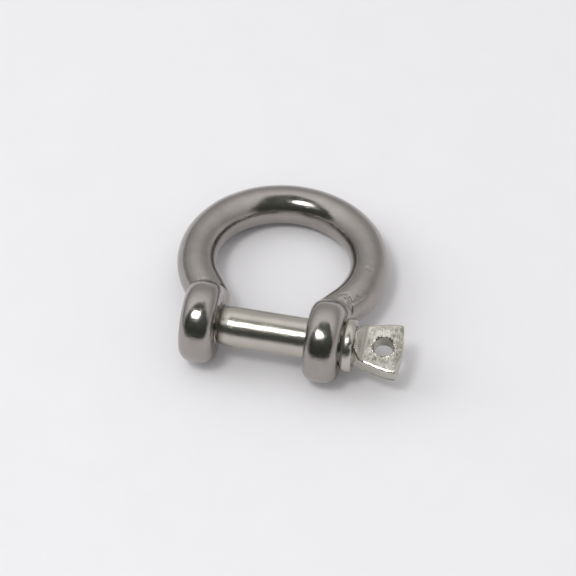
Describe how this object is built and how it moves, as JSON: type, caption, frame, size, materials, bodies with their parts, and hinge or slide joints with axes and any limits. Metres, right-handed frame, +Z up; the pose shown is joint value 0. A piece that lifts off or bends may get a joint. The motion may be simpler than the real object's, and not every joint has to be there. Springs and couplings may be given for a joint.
{
  "type": "bow shackle",
  "caption": "Stainless bow shackle: a round bow of bar with two rounded ears, closed by a screw pin with a collar and a flat, flared tab with a lanyard hole.",
  "frame": {"origin": "middle of the footprint, on the surface that the shackle lies on", "axes": "+X along the pin towards its tab, +Y towards the crown of the bow, +Z up from the surface"},
  "size_m": [0.0494, 0.0498, 0.0165],
  "materials": {
    "polished_bow": "forged and barrel polished",
    "collar_steel": "turned and polished",
    "pin_steel": "drawn, polished, tab pressed flat"
  },
  "bodies": {
    "bow": {"bow": "polished_bow"},
    "collar": {"collar": "collar_steel"},
    "pin": {"pin": "pin_steel"}
  },
  "joints": [
    {"name": "pin_travel", "type": "slide", "parent": "bow", "child": "collar", "axis": [1, 0, 0], "range_m": [0, 0.02601]},
    {"name": "pin_turn", "type": "hinge", "parent": "collar", "child": "pin", "pos_m": [-0.00315, -0.01671, 0.00825], "axis": [1, 0, 0], "range_deg": [0, 7488]}
  ],
  "couplings": [
    {"joint": "pin_travel", "follows": "pin_turn", "m_per_rad": 0.00019894}
  ]
}
